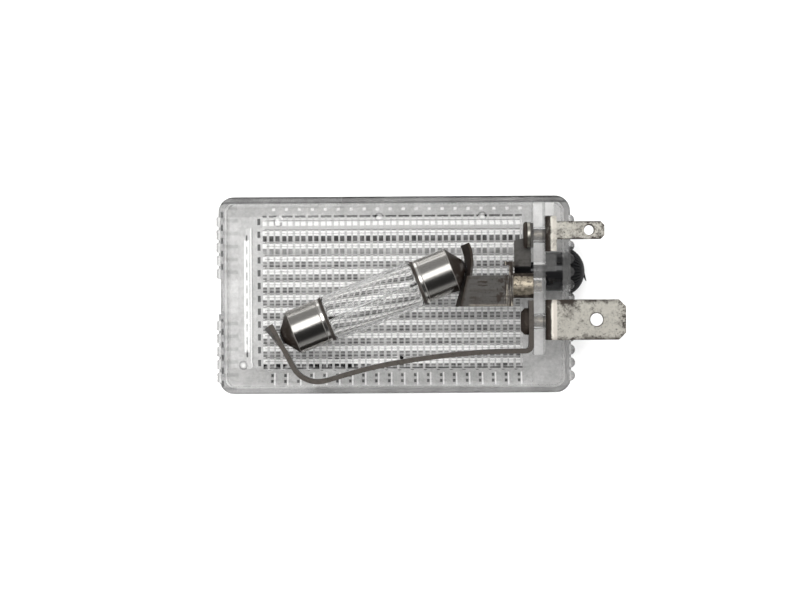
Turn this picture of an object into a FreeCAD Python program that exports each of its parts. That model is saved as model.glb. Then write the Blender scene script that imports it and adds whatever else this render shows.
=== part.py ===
"""Car map light: a clear moulded lens box with a festoon bulb, riveted contacts and a turning knob.

Millimetres. The lamp lies on its front face. X runs along the lens towards the knob and the tabs,
Y runs across it and Z points out of the open back. The origin is the middle of the front face.
"""
import FreeCAD
import Part
import math
import os

V = FreeCAD.Vector
ALONG = V(1, 0, 0)
ACROSS = V(0, 1, 0)
UP = V(0, 0, 1)
MERGE = 0.15

# Lens box
LENS_LENGTH = 55.0
LENS_WIDTH = 30.8
CORNER_RADIUS = 2.4
FRONT_BEVEL = 0.7
PLATE = 2.0
SIDE_WALL = 1.1
END_WALL = 1.2
SKIRT_HEIGHT = 9.6
RIB_PITCH = 2.03
RIB_RADIUS = 0.85
RIB_HEIGHT = 0.65
RIB_FIRST_Y = 3.45
RIB_FACETS = 16
PAD_LOW_Y = -2.85
PAD_HIGH_Y = 2.6
PAD_DEPTH = 0.3

# Optics of the front plate
FLUTE_PITCH = 2.03
FLUTE_RADIUS = 1.0
FLUTE_DEPTH = 0.4
FLUTE_COUNT = 12
FLUTE_FACETS = 28
PRISM_PITCH = 2.05
PRISM_DEPTH = 0.5
PRISM_COUNT = 20
PRISM_FIRST_X = -20.85
COVE_RUN_NORTH = 1.9
COVE_RISE_NORTH = 1.9
COVE_RUN_SOUTH = 2.9
COVE_RISE_SOUTH = 2.6
COVE_FLUTE_DEPTH = 0.4

# Small moulded features inside the box
LEFT_RIB_X = -23.0
LEFT_RIB_THICK = 1.0
LEFT_RIB_HALF = 10.6
LEFT_RIB_TOP = 5.2
PIN_PAD_RADIUS = 0.65
PIN_PAD_SIDES = 12
PIN_PAD_TOP = 4.6
PIN_PAD_INSET = 2.3
PIN_PAD_X = -18.2
PIN_PAD_PITCH = 15.95
PIN_PAD_COUNT = 3
STAY_INSET = 3.4
STAY_THICK = 0.5
STAY_TOP = 4.4
STAY_LEFT_X = -4.5

# Carrier wall for the contacts
CARRIER_X = 21.65
CARRIER_THICK = 1.85
CARRIER_INSET = 4.8
CARRIER_BELOW_TAB = 0.4
GUSSET_LENGTH = 1.5
GUSSET_DEPTH = 2.0
GUSSET_TOP = 9.0

# Turning knob and its cam
KNOB_INSET = 10.76
HUB_RADIUS = 3.1
HUB_FLOOR_GAP = 0.2
HUB_HOLE_GAP = 0.15
HUB_WALL_GAP = 0.25
DOME_RADIUS = 4.0
DOME_CENTRE_BACK = 1.65
CAP_GAP = 0.25
SPOT_DEPTH = 0.2
SPOT_GAP = 0.3
DOME_RINGS = 5
DOME_FLAT = 3.0
SMOOTH_SHARE = 0.5
GRIP_COUNT = 36
GRIP_HEIGHT = 0.16
GRIP_THICK = 0.3
SHAFT_RADIUS = 1.5
SHAFT_GAP = 0.05
SPIGOT_RADIUS = 0.9
SPIGOT_GAP = 0.02
CAM_LENGTH = 2.6
CAM_WALL_GAP = 0.25
CAM_RADIUS = 1.45
CAM_NOSE_RADIUS = 0.6
CAM_REACH = 1.9
CAM_REST_ANGLE = 30.0
KEEPER_LENGTH = 1.8
KEEPER_WIDTH = 2.7
KEEPER_GAP = 0.3
KEEPER_THICK = 1.6

# Rivets
RIVET_SHANK_SHARE = 0.573
RIVET_GAP = 0.05
RIVET_CLEAR = 0.03
RIVET_TAIL_SHARE = 0.84
RIVET_TAIL_THICK = 0.7
LARGE_RIVET_HEAD_THICK = 1.2
SMALL_RIVET_HEAD_THICK = 0.6
LARGE_RIVET_Y = -4.3
SMALL_RIVET_INSET = 5.1
WASHER_THICK = 0.5
WASHER_SHARE = 0.95

# Tab terminals
TAB_THICK = 0.8
TAB_TOP = 12.8
TAB_BEND = 0.4
TAB_LOW_Z = 7.7
LARGE_TAB_Y = -4.05
LARGE_TAB_WIDTH = 6.3
LARGE_TAB_REACH = 12.5
LARGE_TAB_CHAMFER = 1.1
LARGE_TAB_HOLE = 1.0
LARGE_TAB_HOLE_BACK = 4.6
SMALL_TAB_INSET = 4.42
SMALL_TAB_WIDTH = 2.8
SMALL_TAB_REACH = 9.2
SMALL_TAB_CHAMFER = 0.6
SMALL_TAB_HOLE = 0.75
SMALL_TAB_HOLE_BACK = 2.44
SMALL_BASE_WIDTH = 5.5
SMALL_BASE_INSET = 4.93
SMALL_BASE_REACH = 1.75

# Switch leaf
LEAF_THICK = 0.4
LEAF_CAM_GAP = 0.15
LEAF_LEFT_X = 18.75
LEAF_TIP_FROM_KNOB = 0.76
LEAF_ROOT_INSET = 5.3
LEAF_SLANT = 0.6
LEAF_BASE_HALF = 1.9
LEAF_BASE_RISE = 1.7

# Contact bracket
BRACKET_X = 17.9
BRACKET_THICK = 0.6
BRACKET_RISE = 2.4
BRACKET_LOW_Z = 7.6
BRACKET_LOW_Y = -1.9
BRACKET_FLANGE_Y = 2.92
BRACKET_TIP_FROM_KNOB = 1.56
BRACKET_TIP_TOP = 10.4
HOOK_LENGTH = 0.7
HOOK_WIDTH = 0.6
TONGUE_LENGTH = 0.8
TONGUE_WIDTH = 0.8
TONGUE_GAP = 0.3
BULB_LEAF_THICK = 0.4
BULB_LEAF_LOW_Z = 7.4
BULB_LEAF_LEAN = 0.25
BULB_LEAF_FROM_TIP = [(-0.79, -6.42), (0.31, -2.47), (0.67, 0.13), (0.51, 1.73), (0.01, 3.17)]

# Spacer bush and its rivet
BUSH_Y = 1.33
BUSH_BELOW_RIVETS = 0.175
BUSH_RADIUS = 1.95
CENTRE_SHANK = 1.1
CENTRE_HEAD = 1.7
CENTRE_HEAD_THICK = 0.5
CENTRE_DEPTH = 1.3

# Long contact strip
STRIP_THICK = 0.75
STRIP_LOW_Z = 7.3
STRIP_WIDTH = 4.6
STRIP_TOP_Y = -1.0
STRIP_BEND_INSET = 6.3
STRIP_BEND = 0.9
STRIP_FROM_WALL = [(13.6, 5.25), (4.6, 4.35), (-3.1, 3.05), (-9.6, 1.3), (-12.4, 0.8)]
STRIP_HOOK_X = 2.79
STRIP_HOOK_INSET = 2.0
STRIP_TAIL_FROM_TIP = [(0.8, -2.36), (-1.8, 1.84)]
STRIP_TWIST_LOW = 0.55
STRIP_TWIST_TOP = 0.35

# Festoon bulb
BULB_X = -3.45
BULB_Y = -0.96
BULB_Z = 9.6
BULB_ANGLE = 21.3
BULB_LENGTH = 31.0
GLASS_RADIUS = 3.7
GLASS_WALL = 0.5
GLASS_NECK = 3.05
GLASS_END = 9.4
GLASS_SHOULDER = 0.9
CAP_RADIUS = 3.5
CAP_WALL = 0.35
CAP_INNER_END = 7.45
CAP_RIM = 0.12
CAP_RIM_LENGTH = 0.5
CAP_CONE = 2.2
CAP_TIP_RADIUS = 1.1
LEAD_RADIUS = 0.22
LEAD_INNER_END = 6.3
FILAMENT_RADIUS = 0.12
FILAMENT_SIDES = 6
SOLDER_STEPS = [(0.0, 1.0), (0.5, 0.85), (1.0, 0.4)]
FILAMENT_SAG = 0.5

# Places that follow from the sizes above
HALF_LENGTH = LENS_LENGTH / 2
INNER_Y = LENS_WIDTH / 2 - SIDE_WALL
INNER_X = HALF_LENGTH - END_WALL
CARRIER_RIGHT = CARRIER_X + CARRIER_THICK
KNOB_Y = INNER_Y - KNOB_INSET
KNOB_Z = PLATE + HUB_FLOOR_GAP + HUB_RADIUS
SPOT_X = HALF_LENGTH - SPOT_DEPTH
CAP_X = SPOT_X + CAP_GAP
DOME_X = CAP_X - DOME_CENTRE_BACK
CAP_EDGE = math.sqrt(DOME_RADIUS ** 2 - DOME_CENTRE_BACK ** 2)
CAM_RIGHT = CARRIER_X - CAM_WALL_GAP
CAM_LEFT = CAM_RIGHT - CAM_LENGTH
LEAF_LOW_Z = KNOB_Z + CAM_REACH + LEAF_CAM_GAP
BRACKET_RIGHT = BRACKET_X + BRACKET_THICK
CARRIER_LOW_Y = CARRIER_INSET - INNER_Y
CARRIER_TOP = TAB_TOP - CARRIER_BELOW_TAB
RIVET_FLOOR = LEAF_LOW_Z + LEAF_THICK
RIVET_ROOF = TAB_TOP - TAB_THICK
RIVET_Z = (RIVET_FLOOR + RIVET_ROOF) / 2
RIVET_HEAD = (RIVET_ROOF - RIVET_FLOOR) / 2 - RIVET_CLEAR
RIVET_SHANK = RIVET_HEAD * RIVET_SHANK_SHARE
RIVET_TAIL = RIVET_HEAD * RIVET_TAIL_SHARE
WASHER_RADIUS = RIVET_HEAD * WASHER_SHARE
SMALL_RIVET_Y = INNER_Y - SMALL_RIVET_INSET
SMALL_TAB_Y = INNER_Y - SMALL_TAB_INSET
SMALL_BASE_Y = INNER_Y - SMALL_BASE_INSET
LEAF_ROOT_Y = INNER_Y - LEAF_ROOT_INSET
LEAF_TIP_Y = KNOB_Y + LEAF_TIP_FROM_KNOB
LEAF_BASE_TOP = RIVET_Z + LEAF_BASE_RISE
BUSH_Z = RIVET_Z - BUSH_BELOW_RIVETS
BRACKET_TOP = BUSH_Z + BRACKET_RISE
BRACKET_TIP_Y = KNOB_Y + BRACKET_TIP_FROM_KNOB
BULB_HALF = BULB_LENGTH / 2
BULB_HEADING = V(math.cos(math.radians(BULB_ANGLE)), math.sin(math.radians(BULB_ANGLE)), 0)
RIGHT_TIP = V(BULB_X, BULB_Y, 0) + BULB_HEADING * BULB_HALF
LEFT_TIP = V(BULB_X, BULB_Y, 0) - BULB_HEADING * BULB_HALF


def block(x0, x1, y0, y1, z0, z1):
    return Part.makeBox(x1 - x0, y1 - y0, z1 - z0, V(x0, y0, z0))


def rod_along(radius, x0, x1, y=0.0, z=0.0):
    return Part.makeCylinder(radius, x1 - x0, V(x0, y, z), ALONG)


def post(radius, x, y, z0, z1):
    return Part.makeCylinder(radius, z1 - z0, V(x, y, z0), UP)


def faceted(points_round, radius, centre, first, second, direction):
    """Bar with a regular polygon for its section, which stands for a round one."""
    corners = []
    for index in range(points_round):
        turn = math.tau * (index + 0.5) / points_round
        corners.append(centre + first * (radius * math.cos(turn)) + second * (radius * math.sin(turn)))
    return prism(corners, direction)


def prism(points, direction):
    return Part.Face(Part.makePolygon(points + [points[0]])).extrude(direction)


def turned(profile):
    """Solid of revolution about the X axis from (x, radius) points."""
    points = [V(x, 0, radius) for x, radius in profile]
    return Part.Face(Part.makePolygon(points + [points[0]])).revolve(V(0, 0, 0), ALONG, 360)


def fused(first, *others):
    return first.fuse(list(others)).removeSplitter()


def rounded_box(half_x, half_y, radius, z0, z1):
    box = block(-half_x, half_x, -half_y, half_y, z0, z1)
    upright = [edge for edge in box.Edges if edge.BoundBox.ZLength > (z1 - z0) / 2]
    return box.makeFillet(radius, upright)


def upright_section(foot, side, z0, z1, low_shift, top_shift):
    """Rectangle across a strip on edge, whose lower and upper edges may be shifted sideways."""
    low = foot + UP * z0
    top = foot + UP * z1
    corners = [low + side * (low_shift + 1), low + side * (low_shift - 1), top + side * (top_shift - 1),
               top + side * (top_shift + 1)]
    return Part.makePolygon(corners + [corners[0]])


def swept_strip(edges, thickness, z0, z1):
    """Strip of sheet on edge: a thin upright rectangle carried along a level path."""
    path = Part.Wire(edges)
    start = edges[0].valueAt(edges[0].FirstParameter)
    heading = edges[0].tangentAt(edges[0].FirstParameter)
    side = V(-heading.y, heading.x, 0).normalize() * (thickness / 2)
    section = Part.Face(upright_section(V(start.x, start.y, 0), side, z0, z1, 0, 0))
    path.translate(UP * z0)
    return path.makePipe(section)


def leaning(shape, heading, lean, z0):
    """The shape pushed over along a level heading, by lean for each unit of height above z0."""
    push = FreeCAD.Matrix()
    push.A13 = heading.x * lean
    push.A14 = -heading.x * lean * z0
    push.A23 = heading.y * lean
    push.A24 = -heading.y * lean * z0
    return shape.transformGeometry(push)


def from_point(base, offsets):
    return [base + V(x, y, 0) for x, y in offsets]


def prism_cutter(depth, length):
    """Row of V grooves, side by side along X, cut into a face at Z = 0 and running along Y."""
    right = PRISM_FIRST_X + PRISM_COUNT * PRISM_PITCH
    points = [V(PRISM_FIRST_X, 0, MERGE)]
    for index in range(PRISM_COUNT):
        left = PRISM_FIRST_X + index * PRISM_PITCH
        points.append(V(left, 0, 0))
        points.append(V(left + PRISM_PITCH / 2, 0, -depth))
    points.append(V(right, 0, 0))
    points.append(V(right, 0, MERGE))
    return prism(points, ACROSS * length)


def cove(run, rise):
    """Sloped and grooved band between the front plate and a long wall on the +Y side."""
    foot = INNER_Y - run
    over = MERGE * rise / run
    wedge = prism(
        [V(-INNER_X, foot, PLATE), V(-INNER_X, INNER_Y + MERGE, PLATE + rise + over),
         V(-INNER_X, INNER_Y + MERGE, PLATE - MERGE), V(-INNER_X, foot, PLATE - MERGE)],
        ALONG * (CARRIER_X + INNER_X))
    grooves = prism_cutter(COVE_FLUTE_DEPTH, math.hypot(run, rise))
    grooves.rotate(V(0, 0, 0), ALONG, math.degrees(math.atan2(rise, run)))
    grooves.translate(V(0, foot, PLATE))
    return wedge.cut(grooves)


def end_rib(x, y):
    height = UP * (SKIRT_HEIGHT - FRONT_BEVEL)
    return faceted(RIB_FACETS, RIB_RADIUS, V(x, y, FRONT_BEVEL), ALONG, ACROSS, height)


def end_ribs():
    """Upright half-round ribs on both end faces, left off the smooth pad of the far end."""
    reach = HALF_LENGTH + RIB_HEIGHT - RIB_RADIUS
    limit = LENS_WIDTH / 2 - CORNER_RADIUS
    ribs = []
    first = math.ceil((-limit - RIB_FIRST_Y) / RIB_PITCH)
    last = math.floor((limit - RIB_FIRST_Y) / RIB_PITCH)
    for index in range(first, last + 1):
        y = RIB_FIRST_Y + index * RIB_PITCH
        ribs.append(end_rib(reach, y))
        if not PAD_LOW_Y < y < PAD_HIGH_Y:
            ribs.append(end_rib(-reach, y))
    return ribs


def front_flutes():
    """Shallow round flutes along X in the front face, with a flat land on the centre line."""
    length = ALONG * (PRISM_COUNT * PRISM_PITCH)
    flutes = []
    for index in range(FLUTE_COUNT):
        y = (index - (FLUTE_COUNT - 1) / 2) * FLUTE_PITCH
        centre = V(PRISM_FIRST_X, y, FLUTE_DEPTH - FLUTE_RADIUS)
        flutes.append(faceted(FLUTE_FACETS, FLUTE_RADIUS, centre, ACROSS, UP, length))
    return flutes


def inside_features():
    """Low rib, ejector pads and stay moulded on the floor of the box."""
    floor = PLATE - PRISM_DEPTH - MERGE
    pad_y = INNER_Y - PIN_PAD_INSET
    stay_y = INNER_Y - STAY_INSET
    rib_half = LEFT_RIB_THICK / 2
    features = [block(LEFT_RIB_X - rib_half, LEFT_RIB_X + rib_half, -LEFT_RIB_HALF, LEFT_RIB_HALF,
                      floor, LEFT_RIB_TOP)]
    feet = [V(LEFT_RIB_X, -LEFT_RIB_HALF - PIN_PAD_RADIUS / 2, floor)]
    for index in range(PIN_PAD_COUNT):
        feet.append(V(PIN_PAD_X + index * PIN_PAD_PITCH, pad_y, floor))
    for foot in feet:
        height = UP * (PIN_PAD_TOP - floor)
        features.append(faceted(PIN_PAD_SIDES, PIN_PAD_RADIUS, foot, ALONG, ACROSS, height))
    features.append(block(STAY_LEFT_X, CARRIER_X + MERGE, stay_y, stay_y + STAY_THICK, floor, STAY_TOP))
    return features


def carrier():
    """Cross wall that carries the contacts, with its gusset and the keeper lug above the hub."""
    floor = PLATE - MERGE
    north = INNER_Y + MERGE
    right = CARRIER_RIGHT - MERGE
    wall = block(CARRIER_X, CARRIER_RIGHT, CARRIER_LOW_Y, north, floor, CARRIER_TOP)
    gusset = block(right, CARRIER_RIGHT + GUSSET_LENGTH, INNER_Y - GUSSET_DEPTH, north, floor, GUSSET_TOP)
    keeper_z = KNOB_Z + HUB_RADIUS + KEEPER_GAP
    keeper = block(right, CARRIER_RIGHT + KEEPER_LENGTH, KNOB_Y, KNOB_Y + KEEPER_WIDTH, keeper_z,
                   keeper_z + KEEPER_THICK)
    return [wall, gusset, keeper]


def carrier_holes():
    left = CARRIER_X - MERGE
    right = CARRIER_RIGHT + MERGE
    hole = RIVET_SHANK + RIVET_GAP
    return [
        rod_along(hole, left, right, LARGE_RIVET_Y, RIVET_Z),
        rod_along(hole, left, right, SMALL_RIVET_Y, RIVET_Z),
        rod_along(SHAFT_RADIUS + SHAFT_GAP, left, right, KNOB_Y, KNOB_Z),
        rod_along(CENTRE_SHANK + RIVET_GAP, left, CARRIER_X + CENTRE_DEPTH + RIVET_GAP, BUSH_Y, BUSH_Z),
    ]


def lens_housing():
    shell = rounded_box(HALF_LENGTH, LENS_WIDTH / 2, CORNER_RADIUS, 0, SKIRT_HEIGHT)
    front_edges = [edge for edge in shell.Edges if edge.BoundBox.ZMax < FRONT_BEVEL / 2]
    shell = shell.makeChamfer(FRONT_BEVEL, front_edges)
    cavity = rounded_box(INNER_X, INNER_Y, CORNER_RADIUS - SIDE_WALL, PLATE, SKIRT_HEIGHT + MERGE)
    shell = shell.cut(cavity)
    grooves = prism_cutter(PRISM_DEPTH, 2 * INNER_Y - COVE_RUN_NORTH - COVE_RUN_SOUTH)
    grooves.translate(V(0, COVE_RUN_SOUTH - INNER_Y, PLATE))
    shell = shell.cut([grooves] + front_flutes())
    south = cove(COVE_RUN_SOUTH, COVE_RISE_SOUTH).mirror(V(0, 0, 0), ACROSS)
    north = cove(COVE_RUN_NORTH, COVE_RISE_NORTH)
    body = fused(shell, south, north, *end_ribs(), *inside_features(), *carrier())
    hub_hole = rod_along(HUB_RADIUS + HUB_HOLE_GAP, INNER_X - MERGE, HALF_LENGTH + RIB_RADIUS, KNOB_Y, KNOB_Z)
    spot = rod_along(CAP_EDGE + SPOT_GAP, SPOT_X, HALF_LENGTH + RIB_RADIUS, KNOB_Y, KNOB_Z)
    pad = block(-HALF_LENGTH - RIB_RADIUS, PAD_DEPTH - HALF_LENGTH, PAD_LOW_Y, PAD_HIGH_Y, FRONT_BEVEL,
                SKIRT_HEIGHT + MERGE)
    return body.cut(carrier_holes() + [hub_hole, spot, pad])


def dome_arc(radius, first, last):
    """Points (x, distance from the axis) of the dome's ball, between two angles from the axis."""
    points = []
    for index in range(DOME_RINGS + 1):
        turn = first + (last - first) * index / DOME_RINGS
        points.append((DOME_X + radius * math.cos(turn), radius * math.sin(turn)))
    return points


def faceted_dome(profile):
    """Solid of flat facets about the X axis through (x, distance from the axis) points."""
    rings = []
    for x, reach in profile:
        corners = []
        for index in range(GRIP_COUNT):
            turn = math.tau * (index + 0.5) / GRIP_COUNT
            corners.append(V(x, reach * math.sin(turn), reach * math.cos(turn)))
        rings.append(Part.makePolygon(corners + [corners[0]]))
    return Part.makeLoft(rings, True, True)


def grip_ribs(core, smooth):
    """Fine ribs that run up the dome to its smooth middle."""
    root = core - MERGE
    last = math.asin((smooth - MERGE) / DOME_RADIUS)
    outline = dome_arc(DOME_RADIUS, math.acos(DOME_CENTRE_BACK / DOME_RADIUS), last)
    outline += dome_arc(root, last, math.acos(DOME_CENTRE_BACK / root))
    grip = prism([V(x, -GRIP_THICK / 2, r) for x, r in outline], ACROSS * GRIP_THICK)
    grips = []
    for index in range(GRIP_COUNT):
        copy = grip.copy()
        copy.rotate(V(0, 0, 0), ALONG, index * 360 / GRIP_COUNT)
        grips.append(copy)
    return grips


def switch_knob():
    core = DOME_RADIUS - GRIP_HEIGHT
    smooth = DOME_RADIUS * SMOOTH_SHARE
    top = math.radians(DOME_FLAT)
    dome = faceted_dome(dome_arc(core, math.acos(DOME_CENTRE_BACK / core), top))
    button = faceted_dome([(CAP_X, smooth)] + dome_arc(DOME_RADIUS, math.asin(SMOOTH_SHARE), top))
    hub = rod_along(HUB_RADIUS, CARRIER_RIGHT + HUB_WALL_GAP, CAP_X + MERGE)
    shaft = rod_along(SHAFT_RADIUS, CAM_RIGHT, CARRIER_RIGHT + 2 * HUB_WALL_GAP)
    spigot = rod_along(SPIGOT_RADIUS, CAM_LEFT, CAM_RIGHT + MERGE)
    knob = fused(dome, button, hub, shaft, spigot, *grip_ribs(core, smooth))
    knob.translate(V(0, KNOB_Y, KNOB_Z))
    return knob


def switch_cam():
    offset = CAM_REACH - CAM_NOSE_RADIUS
    lean = math.asin((CAM_RADIUS - CAM_NOSE_RADIUS) / offset)
    side = V(0, math.cos(lean), math.sin(lean))
    top = UP * offset
    other = V(0, -side.y, side.z)
    flank = prism([side * CAM_RADIUS, top + side * CAM_NOSE_RADIUS, top + other * CAM_NOSE_RADIUS,
                   other * CAM_RADIUS], ALONG * CAM_LENGTH)
    base = rod_along(CAM_RADIUS, 0, CAM_LENGTH)
    cam = fused(base, rod_along(CAM_NOSE_RADIUS, 0, CAM_LENGTH, 0, offset), flank)
    cam = cam.cut(rod_along(SPIGOT_RADIUS + SPIGOT_GAP, -MERGE, CAM_LENGTH + MERGE))
    cam.rotate(V(0, 0, 0), ALONG, -CAM_REST_ANGLE)
    cam.translate(V(CAM_LEFT, KNOB_Y, KNOB_Z))
    return cam


def rivet(head_left, head_thick, plate_right, y):
    """Rivet along X with a low head on the left and a formed tail on the right."""
    shoulder = head_left + head_thick
    tail_end = plate_right + RIVET_TAIL_THICK
    bevel = head_thick / 2
    shape = turned([
        (head_left, 0), (head_left, RIVET_HEAD - bevel), (head_left + bevel, RIVET_HEAD),
        (shoulder, RIVET_HEAD), (shoulder, RIVET_SHANK), (plate_right, RIVET_SHANK), (plate_right, RIVET_TAIL),
        (tail_end, RIVET_TAIL - RIVET_TAIL_THICK / 2), (tail_end, 0)])
    shape.translate(V(0, y, RIVET_Z))
    return shape


def rivet_hole(y):
    return rod_along(RIVET_SHANK + RIVET_GAP, BRACKET_X, HALF_LENGTH, y, RIVET_Z)


def bent_tab(y0, y1, reach):
    """Sheet that lies on the carrier wall's right face and bends over towards +X."""
    left = CARRIER_RIGHT
    inner = left + TAB_THICK
    under = TAB_TOP - TAB_THICK
    outer_bend = TAB_BEND + TAB_THICK
    centre = V(left + outer_bend, y0, TAB_TOP - outer_bend)
    lean = V(-math.sqrt(0.5), 0, math.sqrt(0.5))
    end = left + reach
    outline = [(left, TAB_LOW_Z), (left, centre.z), (centre.x, TAB_TOP), (end, TAB_TOP), (end, under),
               (centre.x, under), (inner, centre.z), (inner, TAB_LOW_Z)]
    corners = [V(x, y0, z) for x, z in outline]
    edges = [
        Part.makeLine(corners[0], corners[1]),
        Part.Arc(corners[1], centre + lean * outer_bend, corners[2]).toShape(),
        Part.makeLine(corners[2], corners[3]),
        Part.makeLine(corners[3], corners[4]),
        Part.makeLine(corners[4], corners[5]),
        Part.Arc(corners[5], centre + lean * TAB_BEND, corners[6]).toShape(),
        Part.makeLine(corners[6], corners[7]),
        Part.makeLine(corners[7], corners[0]),
    ]
    return Part.Face(Part.Wire(edges)).extrude(ACROSS * (y1 - y0))


def tab_end_cutters(y, width, reach, chamfer, hole, hole_back):
    """Both lead-in corners and the detent hole of a tab."""
    end = CARRIER_RIGHT + reach
    low = TAB_TOP - 2 * TAB_THICK
    height = UP * (3 * TAB_THICK)
    cutters = [post(hole, end - hole_back, y, low, TAB_TOP + TAB_THICK)]
    for sign in (-1, 1):
        edge = y + sign * width / 2
        corner = V(end, edge, low)
        cutters.append(prism([corner - ALONG * chamfer, corner, corner - ACROSS * (sign * chamfer)], height))
    return cutters


def large_tab_terminal():
    half = LARGE_TAB_WIDTH / 2
    tab = bent_tab(LARGE_TAB_Y - half, LARGE_TAB_Y + half, LARGE_TAB_REACH)
    cutters = tab_end_cutters(LARGE_TAB_Y, LARGE_TAB_WIDTH, LARGE_TAB_REACH, LARGE_TAB_CHAMFER,
                              LARGE_TAB_HOLE, LARGE_TAB_HOLE_BACK)
    return tab.cut(cutters + [rivet_hole(LARGE_RIVET_Y)])


def small_tab_terminal():
    half = SMALL_TAB_WIDTH / 2
    base_half = SMALL_BASE_WIDTH / 2
    base = bent_tab(SMALL_BASE_Y - base_half, SMALL_BASE_Y + base_half, SMALL_BASE_REACH)
    root = CARRIER_RIGHT + SMALL_BASE_REACH - MERGE
    tab = block(root, CARRIER_RIGHT + SMALL_TAB_REACH, SMALL_TAB_Y - half, SMALL_TAB_Y + half,
                TAB_TOP - TAB_THICK, TAB_TOP)
    cutters = tab_end_cutters(SMALL_TAB_Y, SMALL_TAB_WIDTH, SMALL_TAB_REACH, SMALL_TAB_CHAMFER,
                              SMALL_TAB_HOLE, SMALL_TAB_HOLE_BACK)
    return fused(base, tab).cut(cutters + [rivet_hole(SMALL_RIVET_Y)])


def switch_leaf():
    """Leaf riveted to the wall, with a level blade that reaches over the cam."""
    left = CARRIER_X - LEAF_THICK
    base = block(left, CARRIER_X, SMALL_RIVET_Y - LEAF_BASE_HALF, SMALL_RIVET_Y + LEAF_BASE_HALF,
                 LEAF_LOW_Z, LEAF_BASE_TOP)
    blade = prism([V(left + MERGE, LEAF_TIP_Y, LEAF_LOW_Z), V(left + MERGE, LEAF_ROOT_Y, LEAF_LOW_Z),
                   V(LEAF_LEFT_X, LEAF_ROOT_Y - LEAF_SLANT, LEAF_LOW_Z),
                   V(LEAF_LEFT_X, LEAF_TIP_Y, LEAF_LOW_Z)], UP * LEAF_THICK)
    return fused(base, blade).cut(rivet_hole(SMALL_RIVET_Y))


def rivet_washer():
    right = CARRIER_X - LEAF_THICK
    washer = rod_along(WASHER_RADIUS, right - WASHER_THICK, right, SMALL_RIVET_Y, RIVET_Z)
    return washer.cut(rivet_hole(SMALL_RIVET_Y))


def contact_bracket():
    """Folded bracket: upright plate on the bush, top flange, switch finger and sprung bulb contact."""
    flange_low = BRACKET_TOP - BRACKET_THICK
    upright = block(BRACKET_X, BRACKET_RIGHT, BRACKET_LOW_Y, BRACKET_FLANGE_Y, BRACKET_LOW_Z, BRACKET_TOP)
    finger = block(BRACKET_X, BRACKET_RIGHT, BRACKET_FLANGE_Y - MERGE, BRACKET_TIP_Y, BRACKET_LOW_Z,
                   BRACKET_TIP_TOP)
    hook = block(BRACKET_X - HOOK_LENGTH, BRACKET_X + MERGE, BRACKET_TIP_Y - HOOK_WIDTH, BRACKET_TIP_Y,
                 BRACKET_LOW_Z, BRACKET_TIP_TOP)
    tongue_z = LEAF_LOW_Z + LEAF_THICK + TONGUE_GAP
    tongue = block(BRACKET_RIGHT - MERGE, BRACKET_RIGHT + TONGUE_LENGTH, BRACKET_TIP_Y - TONGUE_WIDTH,
                   BRACKET_TIP_Y, tongue_z, tongue_z + LEAF_THICK)
    path = from_point(RIGHT_TIP, BULB_LEAF_FROM_TIP)
    right = BRACKET_RIGHT - MERGE
    outline = [(path[0].x, BRACKET_LOW_Y), (right, BRACKET_LOW_Y), (right, BRACKET_FLANGE_Y),
               (path[1].x, BRACKET_FLANGE_Y)]
    flange = prism([V(x, y, flange_low) for x, y in outline], UP * BRACKET_THICK)
    curve = Part.BSplineCurve()
    curve.interpolate(path)
    bulb_leaf = swept_strip([curve.toShape()], BULB_LEAF_THICK, BULB_LEAF_LOW_Z, flange_low + MERGE)
    bulb_leaf = leaning(bulb_leaf, BULB_HEADING, BULB_LEAF_LEAN, BULB_Z)
    bracket = fused(upright, finger, hook, tongue, flange, bulb_leaf)
    return bracket.cut(rod_along(CENTRE_SHANK + RIVET_GAP, BRACKET_X - MERGE, CARRIER_X, BUSH_Y, BUSH_Z))


def spacer_bush():
    bush = rod_along(BUSH_RADIUS, BRACKET_RIGHT, CARRIER_X, BUSH_Y, BUSH_Z)
    return bush.cut(rod_along(CENTRE_SHANK + RIVET_GAP, BRACKET_X, CARRIER_X + MERGE, BUSH_Y, BUSH_Z))


def centre_rivet():
    left = BRACKET_X - CENTRE_HEAD_THICK
    bevel = CENTRE_HEAD_THICK / 2
    end = CARRIER_X + CENTRE_DEPTH
    shape = turned([(left, 0), (left, CENTRE_HEAD - bevel), (left + bevel, CENTRE_HEAD),
                    (BRACKET_X, CENTRE_HEAD), (BRACKET_X, CENTRE_SHANK), (end, CENTRE_SHANK), (end, 0)])
    shape.translate(V(0, BUSH_Y, BUSH_Z))
    return shape


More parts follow.
